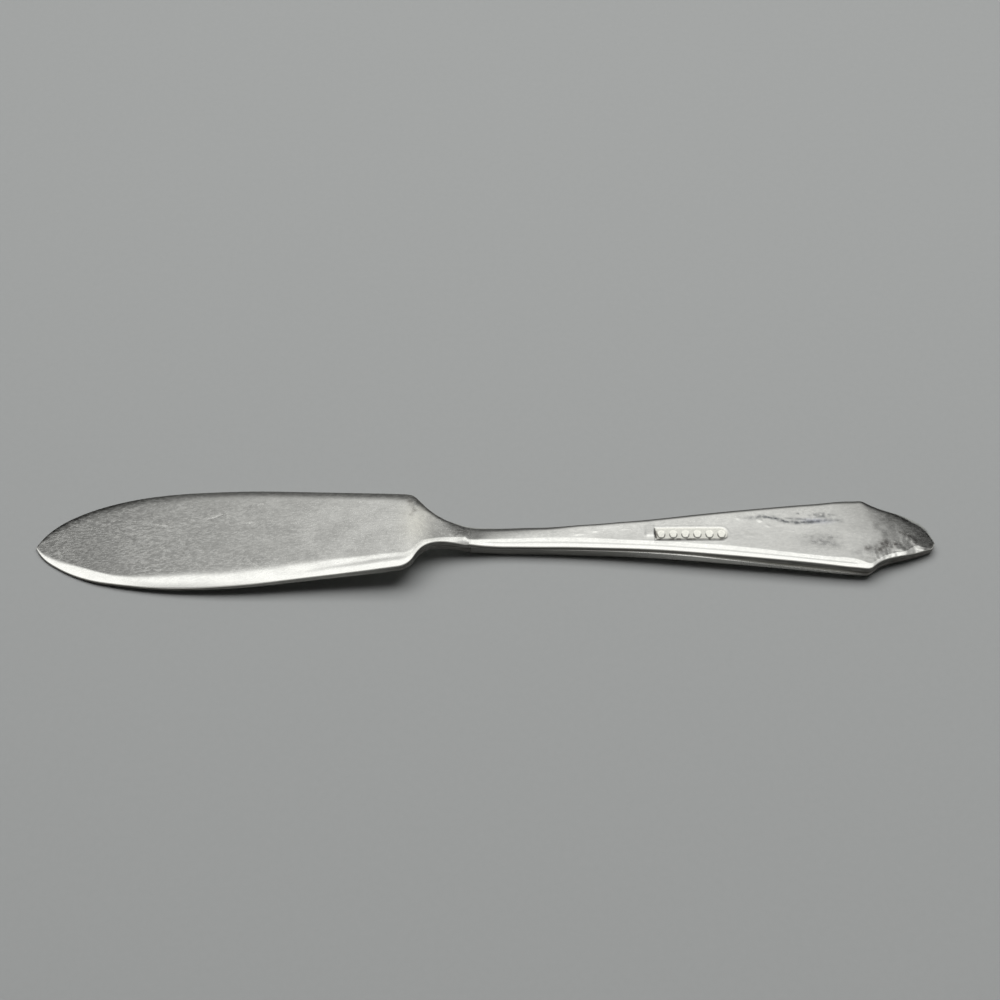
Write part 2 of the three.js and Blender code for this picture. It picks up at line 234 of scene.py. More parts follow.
def edgeRun(half, level, under, edge):  # bevel, arris, upper wall, ledge, lower wall and foot of one side
    step = np.minimum(edge["step"], limits["step"] * half)
    topHalf = half - step
    width = np.minimum(edge["width"], edge["share"] * topHalf)
    bend = np.minimum(edge["round"], limits["round"] * width)
    u = np.linspace(0, 1, rows["bevel"] + 1)[None, :]
    slope = (edge["slope"] + (edge["outer"] - edge["slope"]) * u) * smooth(u, 0, edge["build"])
    slope = slope * (1 - edge["dip"] * stripe(u, edge["dipAt"], edge["dipWide"]))
    steep = np.tan(np.radians(slope)) + edge["lean"] * smooth(u, 0, edge["build"])
    fall = np.cumsum((steep[:, 1:] + steep[:, :-1]) / 2 * (width - bend) / rows["bevel"], 1)
    fall = np.concatenate([np.zeros_like(width), fall], 1)
    room = limits["fall"] * (level(topHalf) - under)
    less = np.minimum(1, room / (fall[:, -1:] + steep[:, -1:] * bend))
    y = [topHalf - width + (width - bend) * u]
    z = [level(y[0]) - less * fall]
    corner = level(topHalf) - less * (fall[:, -1:] + steep[:, -1:] * bend)
    wallTop = corner - np.minimum(bend, limits["arris"] * (corner - under))
    t = np.linspace(0, 1, rows["arris"] + 1)[None, 1:]
    y.append(topHalf - (1 - t) ** 2 * bend)
    z.append((1 - t) ** 2 * z[0][:, -1:] + 2 * t * (1 - t) * corner + t * t * wallTop)
    foot = limits["foot"] * (wallTop - under)
    crease = wallTop + (under + foot - wallTop) * edge["crease"]
    t = np.append(np.linspace(0, 0.94, rows["upperWall"])[1:], 1)[None, :]
    y.append(topHalf + 0 * t)
    z.append(wallTop * (1 - t) + crease * t)
    ledge = crease - limits["ledge"] * step
    t = np.append(0, np.linspace(0.06, 1, rows["lowerWall"]))[None, :]
    y.append(half + 0 * t)
    z.append(ledge * (1 - t) + (under + foot) * t)
    t = np.linspace(0, 1, rows["foot"] + 1)[None, 1:]
    y.append(half - t * t * np.minimum(limits["footMost"], limits["footIn"] * half))
    z.append(under + (1 - t) ** 2 * foot)
    return np.concatenate(y, 1), np.concatenate(z, 1)


def column(x, table):
    return eased(table)(x)[:, None]


# one side of a section, with plain values where a piece says nothing
plainEdge = {"width": 1.0, "build": 1.0, "slope": 0, "outer": None, "dip": 0, "dipAt": 0.5, "dipWide": 0.1,
             "share": 0.86, "round": 0.1, "step": 0.05, "crease": 0.5, "lean": 0}


def edgeValues(x, look, side):  # values of one side, with tables as columns, one row per station
    edge = {}
    for key, plain in plainEdge.items():
        value = look.get(side + key[0].upper() + key[1:], look.get(key, plain))
        edge[key] = column(x, value) if isinstance(value, tuple) else value
    if edge["outer"] is None:
        edge["outer"] = edge["slope"]
    return edge


def sections(x, near, far, look, less=0):  # rings of a piece, with its near band made narrower by less
    nearLean, farLean = (np.tan(np.radians(column(x, form[label]))) for label in ("nearTilt", "farTilt"))
    nearEdge, farEdge = edgeValues(x, look, "near"), edgeValues(x, look, "far")
    nearEdge.update(lean=nearLean, width=nearEdge["width"] - less)
    x = x[:, None]
    top, under = topLine(x), underLine(x)
    nearHalf, farHalf = near(x), far(x)
    for start, way, reach in ((0.0, 1, form["tipRound"]), (form["end"], -1, form["endRound"])):
        share = np.clip((x - start) * way / reach, 0, 1)
        tight = np.sqrt(np.maximum(1 - (1 - share) ** 2, form["endLeft"]))  # both ends close round
        nearHalf, farHalf = nearHalf * tight, farHalf * tight

    wide = nearHalf + farHalf
    low, high = form["leanTurns"]

    def fallTo(share):  # how far the leaning face has come down at this share of the width
        part = np.clip((share - low) / (high - low), 0, 1)
        bent = (high - low) * part ** 2 / 2 + np.maximum(share - high, 0)
        return nearLean * share + (farLean - nearLean) * bent

    still = fallTo(form["leanStill"] * nearHalf / wide)

    def level(y):  # height of the plain top face
        return top - wide * (fallTo(np.clip((y + nearHalf) / wide, 0, 1)) - still)

    yn, zn = edgeRun(nearHalf, lambda y: level(-y), under, nearEdge)
    yf, zf = edgeRun(farHalf, level, under, farEdge)
    t = np.linspace(0, 1, rows["bottom"] + 2)[None, 1:-1]
    bottomY = -yn[:, -1:] * (1 - t) + yf[:, -1:] * t
    t = np.linspace(0, 1, rows["top"] + 2)[None, 1:-1]
    topY = yf[:, :1] * (1 - t) - yn[:, :1] * t
    y = np.concatenate([-yn, bottomY, yf[:, ::-1], topY], 1)
    z = np.concatenate([zn, under + 0 * bottomY, zf[:, ::-1], level(topY)], 1)

    def marked(bevel, arris, walls, foot, face):  # one value per column; walls: upper, ledge, lower
        run = np.concatenate([np.broadcast_to(bevel, rows["bevel"] + 1), np.linspace(*arris, rows["arris"]),
                              np.repeat(walls, (rows["upperWall"] - 1, 2, rows["lowerWall"])),
                              np.linspace(*foot, rows["foot"])])
        ring = np.concatenate([run, np.zeros(rows["bottom"]), run[::-1], np.full(rows["top"], face)])
        return ring[None] * np.ones_like(y)

    return {"x": x * np.ones_like(y), "y": y, "z": z,
            "upper": marked(1.0, (0.8, 0), (0, 0, 0), (0, 0), 1),
            "bevel": marked(np.linspace(0, 1, rows["bevel"] + 1), (1, 0.3), (0, 0, 0), (0, 0), 0),
            "side": marked(0.0, (0.1, 1), (1, 0.05, 0.5), (0.8, 0), 0),
            "wall": marked(0.0, (0, 0), (1, 1, 1), (1, 0.3), 0)}


def wallTone(body, light, dull=1.0):  # grime and painted shade on the side walls; light bares the ledge and lower wall
    side = body["side"] + (1 - body["side"]) * body["wall"] * (1 - light)
    return side * (1 - body["wall"] * (1 - dull))


def skin(name, body, marks):  # rings of points closed at both ends, with its marks as attributes
    x, y, z = body["x"], body["y"], body["z"]
    count, ring = y.shape
    points = np.stack([(x - form["middle"]) * mm, y * mm, z * mm], -1).reshape(-1, 3)
    ends = points.reshape(count, ring, 3)[[0, -1]].mean(1)
    points = np.vstack([points, ends])
    i, j = np.arange(count - 1)[:, None] * ring, np.arange(ring)[None, :]
    k = (j + 1) % ring
    quads = np.stack([i + j, i + k, i + ring + k, i + ring + j], -1).reshape(-1, 4)
    j, k, last = np.arange(ring), (np.arange(ring) + 1) % ring, (count - 1) * ring
    front = np.stack([k, j, np.full(ring, count * ring)], -1)
    back = np.stack([last + j, last + k, np.full(ring, count * ring + 1)], -1)
    mesh = bpy.data.meshes.new(name)
    mesh.from_pydata(points.tolist(), [], quads.tolist() + front.tolist() + back.tolist())
    mesh.shade_smooth()
    mesh.set_sharp_from_angle(angle=sharpFrom)
    for mark, values in marks.items():
        layer = mesh.attributes.new(mark, "FLOAT", "POINT")
        layer.data.foreach_set("value", np.append(values.reshape(-1), [0, 0]).astype(np.float32))
    piece = bpy.data.objects.new(name, mesh)
    scene.collection.objects.link(piece)
    return piece


def alongRuns(*runs):  # stations along x: (start, stop, step)
    parts = [np.linspace(a, b, max(2, round((b - a) / step) + 1))[:-1] for a, b, step in runs]
    return np.append(np.concatenate(parts), runs[-1][1])


def nickDepth(x, y, nicks):  # short thin dents, and burrs where the depth is below zero
    depth = np.zeros_like(x)
    for at, across, length, turn, deep, wide in nicks:
        along, over = turned(x, y, at, across, turn)
        reach = wide * np.where((over > 0) & (deep < 0), 3.0, 1.0)  # a burr runs out on its far side
        depth += deep * np.exp(-(over / reach) ** 2 - (2 * along / length) ** 4)
    return depth


def blot(x, y, spot):
    at, across, reach, over = spot
    return np.exp(-((x - at) / reach) ** 2 - ((y - across) / over) ** 2)


def blots(x, y, spots):
    return sum(strength * blot(x, y, spot) for *spot, strength in spots)


def wavy(look, x, y):  # slow and quick waves of a hand-finished face
    (slow, quick), seed = look["waveSizes"], look["waveSeed"]
    return lumps(x, y, slow, seed) + look["waveShare"] * lumps(x, y, quick, seed + 1)


def tuck(x, end, way):
    return form["tuckDeep"] * smooth(way * x, way * end - form["tuckReach"], way * end)


blade = {  # tables are (mm from the tip, value); slopes in degrees
    "nearWidth": ((0, 0.6), (1, 0.9), (2.4, 1.8), (4, 2.3), (6.5, 2.45), (11, 2.2), (14, 2.05), (17, 2.4),
        (22, 3.4), (28, 4.1), (46, 3.95), (56, 3.2), (59.5, 3.05), (63, 2.95), (66.5, 1.65), (68, 0.95),
        (70, 0.88), (72.3, 1.2), (73.3, 1.5), (74.2, 1.75), (75, 1.75)),
    "bandEnd": (73.9, 74.78, 0.7),   # where the bright band stops bluntly, and by how much it narrows
    "nearBuild": ((0, 1), (4, 0.95), (6.5, 0.6), (9, 0.32), (12, 0.35), (16, 0.7), (22, 1), (34, 1),
        (44, 0.75), (52, 0.4), (60, 0.22), (66, 0.3), (75, 0.35)),
    "nearSlope": ((0, 9.5), (8, 9), (12, 9), (18, 11.5), (22, 14.5), (38, 13.5), (48, 10), (60, 9.5),
        (64, 9.5), (66, 7.5), (68, 8), (70, 9.5), (75, 10.5)),
    "nearOuter": ((0, 11), (8, 12), (12, 11.5), (16, 12.5), (20, 14.5), (24, 15.5), (38, 14), (48, 11),
        (60, 12), (64, 12), (66, 9), (68, 9.5), (70, 11), (75, 12.5)),
    # one bright line turns into two
    "nearDip": ((30, 0), (42, 0.3), (52, 0.55), (60, 0.8), (64, 0.75), (66.5, 0.1), (67.5, 0), (72.2, 0),
        (73.2, -0.5), (75, -0.5)),
    "nearDipAt": ((35, 0.78), (46, 0.76), (52, 0.62), (60, 0.5), (66, 0.5), (71, 0.85), (75, 0.85)),
    "nearDipWide": ((52, 0.15), (60, 0.19), (66, 0.19), (71, 0.3), (75, 0.3)),
    "farWidth": ((0, 2), (10, 2.2), (20, 2.8), (60, 2.8), (64, 3.2), (66.3, 3.3), (68, 1.4), (70, 1),
        (75, 1.25)),
    "farBuild": ((0, 1.5), (75, 1.4)),
    "farSlope": ((0, 15), (2, 17), (5, 24), (10, 27), (60, 25), (66, 25), (75, 30)),
    "wallDull": ((0, 1), (25, 1), (33, 0.86), (42, 0.72), (58, 0.72), (61, 0.85), (64, 1)),
    "step": 0.05, "nearRound": 0.13, "farRound": 0.1, "nearShare": 0.86, "farShare": 0.6,
    "waves": 0.007, "waveSizes": (9.0, 3.1), "waveShare": 0.2, "waveSeed": 3,
    # nicks: along, across, length, turn in degrees, depth, half width
    "nicks": ((30.7, 4.45, 3, 19, 0.02, 0.3),),
    # light strokes: along, across, length, turn in degrees, half width, strength
    "scuffs": ((21.9, 3.1, 1.7, -12, 0.17, 0.8), (20.2, 3.5, 3, -14, 0.12, 0.6),
        (30.9, 4.55, 2.6, 19, 0.15, 0.9), (29.7, 4.1, 1.4, 17, 0.1, 0.5),
        (14.3, 1.25, 1.4, 17, 0.1, 0.45), (37, 2.9, 1, 8, 0.16, 0.6), (35, 1.2, 2.4, 15, 0.09, 0.3),
        (48.3, 1.8, 0.9, 0, 0.16, 0.5), (38.3, 6.6, 1.4, 4, 0.12, 0.4), (56.3, 5.9, 1.2, 3, 0.13, 0.4),
        (51.2, 5.1, 0.8, 10, 0.12, 0.35), (56.2, 2.1, 1.3, 5, 0.12, 0.35),
        (44, -2.7, 1.6, 25, 0.09, 0.3)),
    "heelStain": ((64.6, 5.5), (65.2, 4.3), (65.5, 3.6), (64.7, 2.8)),
    "heelStainWidth": 0.38, "heelStainRagged": 0.7, "heelStainStrength": 0.42,
    # painted shade at the tip and in the heel: along, across, reach along, reach across, strength
    "tipShade": (-0.5, -0.5, 3.6, 6.0, 0.55), "heelShade": (65.5, 4.9, 0.8, 1.2, 0.75),
    # painted shade on the flats of the neck: (mm from the tip, strength)
    "neckShade": ((62.5, 0), (64.5, 0.15), (66, 0.33), (70, 0.33), (71.2, 0.1), (72.2, 0)),
    "heelFilm": (66.0, 1.0, 2.6, 4.5),   # warm film: along, across, reach along, reach across
    "stop": 74.78,
}


def makeBlade():
    look = blade
    x = alongRuns((0, 0.5, 0.05), (0.5, 62.5, 0.2), (62.5, 67.5, 0.1), (67.5, look["stop"], 0.14))
    start, stop, less = look["bandEnd"]
    body = sections(x, edgeSide, spineSide, look, less * smooth(x, start, stop)[:, None])
    s, y, upper = body["x"], body["y"], body["upper"]
    body["z"] += upper * look["waves"] * wavy(look, s, y)
    body["z"] -= upper * nickDepth(s, y, look["nicks"])
    body["z"] -= tuck(s, look["stop"], 1) * upper
    ragged = look["heelStainWidth"] * (1 + look["heelStainRagged"] * lumps(s, y, 0.6, 25))
    # a stain line by the heel; on the handle the same mark holds painted shade in the panel
    dirt_and_shade = look["heelStainStrength"] * lineMark(s, y, look["heelStain"], ragged) * upper
    film = blot(s, y, look["heelFilm"]) * upper
    # painted shade at the tip, on the neck and in the heel, fading out across the bevels except in the heel
    smudge_and_shade = (blots(s, y, [look["tipShade"]]) + column(x, look["neckShade"])) * (1 - body["bevel"])
    smudge_and_shade = (smudge_and_shade + blots(s, y, [look["heelShade"]])) * upper
    none = 0 * dirt_and_shade
    body["y"] = y - eased(form["tipLean"])(s)
    piece = skin("bladeSkin", body, {
        "bevel": body["bevel"], "sideWall": wallTone(body, 0, column(x, look["wallDull"])), "stain": none,
        "blueing": none, "smudge_and_shade": smudge_and_shade, "crease_shade": none, "dirt_and_shade": dirt_and_shade, "film": film})
    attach(piece, "root")
    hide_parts("blade")
    return piece


handle = {  # tables are (mm from the blade tip, value); slopes in degrees
    "start": 75.14,
    "nearWidth": ((75, 1.1), (75.8, 1.2), (76.7, 1.4), (78.4, 1.5), (80, 1.7), (83.5, 1.8), (87, 2.05),
        (94, 2), (97.5, 1.95), (101, 1.8), (111.5, 1.8), (118.5, 2), (125.5, 1.8), (132.5, 1.62),
        (136, 1.65), (139.5, 1.9), (141.5, 1.6), (143.3, 0.8), (145, 0.75), (146.8, 0.9), (147.7, 1.1),
        (148.6, 0.7), (149.4, 0.65), (150.3, 1.3), (150.8, 1.7), (151.5, 1.7), (152.2, 1.3), (152.8, 0.7),
        (153.5, 0.6), (155, 0.4)),
    "nearBuild": ((75, 0.3), (80, 0.2), (90, 0.16), (142, 0.16), (144, 0.3), (155, 0.5)),
    "nearSlope": ((75, 10), (90, 9.5), (142, 9.5), (145, 10), (152.2, 10), (153.2, 4), (155, 3)),
    "nearOuter": ((75, 12), (90, 11), (142, 11), (145, 12), (152.2, 12), (153.2, 6), (155, 5)),
    "nearDip": ((75, 0), (76.5, 0), (78, 0.65), (80, 0.85), (140, 0.85), (142.3, 0)),
    "nearDipAt": ((75, 0.55), (80, 0.58), (142, 0.6)), "nearDipWide": 0.13,
    "farWidth": ((75, 1.3), (80, 1.15), (84, 1), (138, 1), (142, 1.6), (148, 1.6), (150.5, 2.4),
        (152, 2.4), (155, 1.2)),
    "farBuild": ((75, 1.4), (139, 1.4), (142, 0.9), (149, 0.8), (155, 0.4)),
    "farSlope": ((75, 28), (139, 28), (142, 19), (155, 19)),
    "farDip": ((139, 0), (142, 0.75), (148.5, 0.75), (150.5, 0.45), (155, 0.3)),
    "farDipAt": 0.4, "farDipWide": 0.36,
    "wallLight": ((75, 0.12), (92, 0.15), (100, 0.3), (107, 0.7), (111, 1), (136, 1), (139.5, 0.7),
        (142.5, 0)),
    "nearCrease": ((75, 0.2), (100, 0.26), (110, 0.3), (114, 0.34), (120, 0.46), (128, 0.66), (142, 0.76),
        (155, 0.6)),
    "step": ((75, 0.05), (86, 0.1), (92, 0.2), (110, 0.26), (141, 0.26), (144, 0.08), (155, 0.04)),
    "nearRound": 0.13, "farRound": 0.1, "nearShare": 0.88, "farShare": 0.72,
    "waves": 0.008, "waveSizes": (7.0, 2.7), "waveShare": 0.5, "waveSeed": 5,
    # nicks: along, across, length, turn in degrees, depth (below zero for a burr), half width
    "nicks": ((93.6, 0.05, 1.8, 4, -0.03, 0.2), (96.3, 0.6, 1.1, 2, -0.03, 0.2),
        (101.6, 0.9, 1.8, 5, -0.015, 0.2), (105.8, -0.25, 1.6, 0, -0.12, 0.55),
        (121.1, 2.5, 0.9, -20, -0.025, 0.2), (122.8, -0.95, 1.8, -3, -0.015, 0.18),
        (124.9, 2.1, 0.7, 30, -0.045, 0.22), (126.2, 1, 0.5, 40, -0.035, 0.2),
        (128.4, 1.3, 1.2, 10, -0.015, 0.25), (142.8, -4.3, 1.4, 0, -0.03, 0.35),
        (143.8, -4.2, 0.9, 0, -0.02, 0.3), (148.2, -3, 1.4, 10, -0.05, 0.4),
        (149.4, -1.6, 1.4, -20, -0.022, 0.3), (150.5, -0.95, 1.2, -20, -0.025, 0.3),
        (151.5, -1.7, 1.6, -25, -0.04, 0.4)),
    # light strokes: along, across, length, turn in degrees, half width, strength
    "scuffs": ((101.6, 0.9, 2, 5, 0.14, 0.3), (122.8, -0.95, 2, -3, 0.13, 0.3)),
    "stainLine": ((122.3, 2.7), (123.6, 2.7), (125, 3), (126.3, 2.8), (128, 2.4), (129.5, 1.85),
        (130.9, 1.75), (132.4, 1.8), (133.7, 1.92), (134.9, 2.06), (136.5, 2.4), (137.9, 2.4),
        (139.1, 2.3)),
    "stainTwin": ((129.2, 2.62), (131.1, 2.5), (132.7, 2.45)),
    "stainWidth": 0.34, "stainRagged": 0.4, "twinWidth": 0.7, "twinStrength": 0.5,
    "stainStrength": ((122.3, 0.3), (124, 0.5), (126, 0.8), (127.5, 1), (129.5, 0.95), (131, 0.95),
        (133, 0.85), (135, 0.7), (137, 0.5), (139.5, 0.3)),
    # spots, patches, and smudges with painted shade on the end: along, across, reach along, reach across
    # (and strength)
    "spots": ((131.9, 3.65, 0.8, 0.28), (133.4, 3.5, 0.7, 0.25), (135.6, 3.35, 1.9, 0.5)),
    "bluePatch": (134.6, 2.15, 2.4, 0.5),
    "spotStrength": 0.8, "blueStrength": 0.8, "filmStrength": 0.8,
    "smudgesAndShade": ((134.8, -1.9, 3.8, 1.5, 0.46), (134.4, -1, 2.4, 0.35, 0.46),
        (135.2, -2.2, 2.6, 0.5, 0.46), (137.4, -2.9, 1.8, 0.5, 0.46), (137.2, -1.2, 1.2, 0.3, 0.46),
        (145.5, 2, 2.4, 2.2, 0.2), (147.5, -0.6, 2.6, 1.6, 0.22), (153.8, 1.2, 2.2, 2.4, 0.85),
        (141.2, -4, 2.2, 0.5, 0.4), (144, -3, 1.3, 0.8, 0.5)),
    "smudgeAndShadeRagged": (0.85, 0.5), "patchRagged": (0.9, 0.45), "patchStrength": 0.8, "creaseShadeStrength": 0.75,
    "wornFrom": 142.0, "wornOver": 4.0, "wornDepth": 0.016, "ridgeDepth": 0.024, "ridgeWide": 2.4,
    # painted shade of a worn, lumpy crease on the end: patches as along, across, reach along, reach across,
    # and a line
    "darkPatches": ((145.8, -2.5, 1, 0.9), (145, -3.5, 1, 0.9), (147.1, -2.8, 0.8, 0.6),
        (142.9, -3.2, 0.7, 0.5), (146.3, -1.7, 0.8, 0.5), (147.9, -2.1, 0.9, 0.4)),
    "creaseShadeLine": ((148.9, 0.5), (149.7, 0), (150.65, -0.35), (151.5, -0.95)), "creaseShadeWidth": 0.2,
}
panel = {  # stamped panel with a plain row of oval punch marks
    "at": (112.9, -0.48), "length": 12.4, "width": 2.55, "turn": -0.9, "depth": 0.02, "lean": 0.026,
    "soft": 0.42, "nearSoft": 1, "nearFrom": 0.4, "lip": 0.02, "lipAt": (0.25, 0.2),
    # painted shade sits in a patchy line along the near foot and in a bar at the start: place and half
    # width
    "foot": (0.25, 0.19), "bar": (0.15, 0.17), "barReach": 0.85, "patch": 0.42,
    "marks": 6, "inset": 1.05, "markLong": 0.74, "markWide": 0.9, "markEdge": 0.3, "markDeep": 0.09,
    "markLow": 0.8,   # each mark is deepest here, counted from its far end
}


def panelShape(x, y):  # height change of the stamped panel, where painted shade sits in it, and where its film is
    along, over = turned(x, y, *panel["at"], panel["turn"])
    half, reach = panel["width"] / 2, panel["length"] / 2
    square = np.maximum(np.abs(over) - half, -along - reach)
    rounded = np.hypot(np.maximum(along - (reach - half), 0), over) - half
    gap = np.where(along > reach - half, rounded, square)  # below zero inside
    nearer = smooth(-over, panel["nearFrom"] * half, half) * (np.abs(along) < reach)
    soft = panel["soft"] + (panel["nearSoft"] - panel["soft"]) * nearer
    inside = smooth(-gap, -panel["soft"] / 2, soft - panel["soft"] / 2)
    lip = panel["lip"] * stripe(gap, *panel["lipAt"])
    pitch = (panel["length"] - 2 * panel["inset"]) / (panel["marks"] - 1)
    within = np.zeros_like(x)
    for k in range(panel["marks"]):
        at = along + reach - panel["inset"] - k * pitch
        r = np.hypot(at / panel["markLong"], over / panel["markWide"])
        within = np.maximum(within, smooth(1 - r, 0, panel["markEdge"]))
    run, lowest = np.clip((panel["markWide"] - over) / (2 * panel["markWide"]), 0, 1), panel["markLow"]
    cut = panel["markDeep"] * within * np.minimum(run / lowest, (1 - run) / (1 - lowest))
    patchy = smooth(lumps(x, 0.3 * y, panel["patch"], 31), -0.2, 0.35)
    foot = stripe(over + half, *panel["foot"]) * patchy * (np.abs(along) < reach - 0.5)
    bar = stripe(along + reach, *panel["bar"]) * smooth(panel["barReach"] - np.abs(over), 0, 0.2)
    low = np.clip(half - over, 0, panel["width"])  # the floor leans to the near side
    deep = panel["depth"] + panel["lean"] * low
    # the second value is painted shade along the near foot and in the start bar
    return lip - (deep + cut) * inside, np.clip(foot + bar, 0, 1), inside


def makeHandle():
    look = handle
    x = alongRuns((look["start"], 77, 0.14), (77, 106.2, 0.24), (106.2, 119.8, 0.075), (119.8, 141.2, 0.18),
                  (141.2, 154.5, 0.13), (154.5, 155, 0.05))
    body = sections(x, gripNear, gripFar, look)
    s, y, upper = body["x"], body["y"], body["upper"]
    stamped, dirt_and_shade, film = panelShape(s, y)
    ending = smooth(s, look["wornFrom"], look["wornFrom"] + look["wornOver"]) * upper
    ridge = ending * stripe(y + gripNear(s), 0, look["ridgeWide"])
    body["z"] += upper * (look["waves"] * wavy(look, s, y) + stamped)
    body["z"] -= upper * nickDepth(s, y, look["nicks"])
    dents = ending * look["wornDepth"] * lumps(s, y, 1.3, 12)
    body["z"] += dents + ridge * look["ridgeDepth"] * lumps(s, y, 0.55, 13)
    body["z"] -= tuck(s, look["start"], -1) * upper
    body["y"] = y - eased(form["endLean"])(s)
    # painted shade along the crease at the end
    least, more = look["patchRagged"]
    crease_shade = sum(blot(s, y, spot) for spot in look["darkPatches"]) * (least + more * lumps(s, y, 0.8, 14))
    creaseShadeMark = lineMark(s, y, look["creaseShadeLine"], look["creaseShadeWidth"])
    crease_shade = np.maximum(look["patchStrength"] * crease_shade, look["creaseShadeStrength"] * creaseShadeMark)
    ragged = look["stainWidth"] * (1 + look["stainRagged"] * lumps(s, y, 0.8, 21))
    stain = eased(look["stainStrength"])(s) * lineMark(s, y, look["stainLine"], ragged)
    twin = lineMark(s, y, look["stainTwin"], look["twinWidth"] * ragged)
    stain = np.maximum(stain, look["twinStrength"] * twin)
    spots = sum(blot(s, y, spot) for spot in look["spots"]) * smooth(lumps(s, y, 0.5, 26), -0.7, 0.3)
    stain = np.clip(np.maximum(stain, look["spotStrength"] * spots), 0, 1)
    blueing = look["blueStrength"] * blot(s, y, look["bluePatch"])
    # smudges on the plate, and painted shade on the end
    least, more = look["smudgeAndShadeRagged"]
    smudge_and_shade = blots(s, y, look["smudgesAndShade"]) * (least + more * lumps(s, 2.2 * y, 0.5, 33))
    piece = skin("handleSkin", body, {
        "bevel": body["bevel"], "sideWall": wallTone(body, column(x, look["wallLight"])),
        "stain": stain * upper, "blueing": blueing * upper, "smudge_and_shade": smudge_and_shade * upper, "dirt_and_shade": dirt_and_shade * upper,
        "crease_shade": np.clip(crease_shade, 0, 1) * upper, "film": look["filmStrength"] * film * upper})
    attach(piece, "root")
    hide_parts("handle")
    return piece


solder = {
    "stations": 9, "sink": 0.005, "swell": 0.004, "round": 0.12, "step": 0.03,
    "nearWidth": 1.1, "nearBuild": 0.3, "nearSlope": 10.5,
    "farWidth": 1.35, "farBuild": 1.4, "farSlope": 29,
}


def makeSolder():
    look = solder
    x = np.linspace(blade["stop"], handle["start"], look["stations"])
    share = ((x - x[0]) / (x[-1] - x[0]))[:, None]
    bulge = look["swell"] * 4 * share * (1 - share)
    body = sections(x, gripNear, gripFar, look)
    middle = (topLine(x) + underLine(x))[:, None] / 2
    tight = 1 - (look["sink"] - bulge) / form["neckHalf"]
    body["y"] = body["y"] * tight
    body["z"] = middle + (body["z"] - middle) * tight
    # the solder's walls get the same grime and painted shade
    piece = skin("solderLine", body, {"bevel": body["bevel"], "sideWall": wallTone(body, 0)})
    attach(piece, "root")
    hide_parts("braze_seam")
    return piece


bladePiece, handlePiece, solderPiece = makeBlade(), makeHandle(), makeSolder()
print("pieces made:", [(p.name, len(p.data.polygons)) for p in (bladePiece, handlePiece, solderPiece)])


def put(tree, kind, sockets=None, **settings):  # one node; a socket takes a value or another node's output
    made = tree.nodes.new("ShaderNode" + kind)
    for key, value in settings.items():
        setattr(made, key, value)
    for key, value in (sockets or {}).items():
        if isinstance(value, bpy.types.NodeSocket):
            tree.links.new(value, made.inputs[key])
        else:
            made.inputs[key].default_value = value
    return made


def sums(tree, operation, *values, clamp=False):
    return put(tree, "Math", dict(enumerate(values)), operation=operation, use_clamp=clamp).outputs[0]


def mixed(tree, share, first, second, blend="MIX"):
    made = put(tree, "Mix", {0: share, 6: first, 7: second}, data_type="RGBA", blend_type=blend)
    return made.outputs[2]


def between(tree, value, low, high, toLow=0.0, toHigh=1.0):
    sockets = dict(enumerate((value, low, high, toLow, toHigh)))
    return put(tree, "MapRange", sockets, interpolation_type="SMOOTHSTEP").outputs[0]


def noise(tree, vector, scale, detail, rough=0.5):
    sockets = {"Vector": vector, "Scale": scale, "Detail": detail, "Roughness": rough}
    return put(tree, "TexNoise", sockets).outputs[0]


def stretched(tree, vector, scale, turn=0.0, at=(0, 0, 0)):
    sockets = {"Vector": vector, "Scale": scale, "Rotation": (0, 0, turn), "Location": at}
    return put(tree, "Mapping", sockets).outputs[0]


def turnedFlat(tree, vector, angle):
    return put(tree, "VectorRotate", {"Vector": vector, "Angle": angle}, rotation_type="Z_AXIS").outputs[0]


def newMaterial(name):
    material = bpy.data.materials.new(name)
    material.use_nodes = True
    tree = material.node_tree
    tree.nodes.clear()
    return material, tree, put(tree, "TexCoord").outputs["Object"]


def surface(tree, sockets):
    put(tree, "OutputMaterial", {"Surface": put(tree, "BsdfPrincipled", sockets).outputs[0]})


# sockets of the groups; those not named here are numbers
socketKinds = {"Vector": "Vector", "At": "Vector", "Silver": "Color", "Color": "Color"}


def newGroup(name, inputs, outputs):
    tree = bpy.data.node_groups.new(name, "ShaderNodeTree")
    for way, labels in (("INPUT", ("Vector",) + inputs), ("OUTPUT", outputs)):
        for label in labels:
            kind = "NodeSocket" + socketKinds.get(label, "Float")
            tree.interface.new_socket(label, in_out=way, socket_type=kind)
    source, sink = tree.nodes.new("NodeGroupInput"), tree.nodes.new("NodeGroupOutput")
    return tree, source.outputs, sink.inputs


def place(tree, group, sockets):
    return put(tree, "Group", sockets, node_tree=group).outputs


def satinGrainGroup():  # cloudy polish and fine drawn grain of worn plate
    tree, given, out = newGroup("satinGrain", ("Cloud Scale", "Grain Scale"), ("Clouds", "Grain"))
    wide = stretched(tree, given["Vector"], (0.55, 1.0, 1.0))
    clouds = noise(tree, wide, given["Cloud Scale"], 3.0, 0.55)
    drawn = stretched(tree, given["Vector"], (0.5, 1.0, 1.0), 0.12)
    grain = noise(tree, drawn, given["Grain Scale"], 2.0)
    tree.links.new(between(tree, clouds, 0.3, 0.7), out["Clouds"])
    tree.links.new(between(tree, grain, 0.25, 0.75), out["Grain"])
    return tree


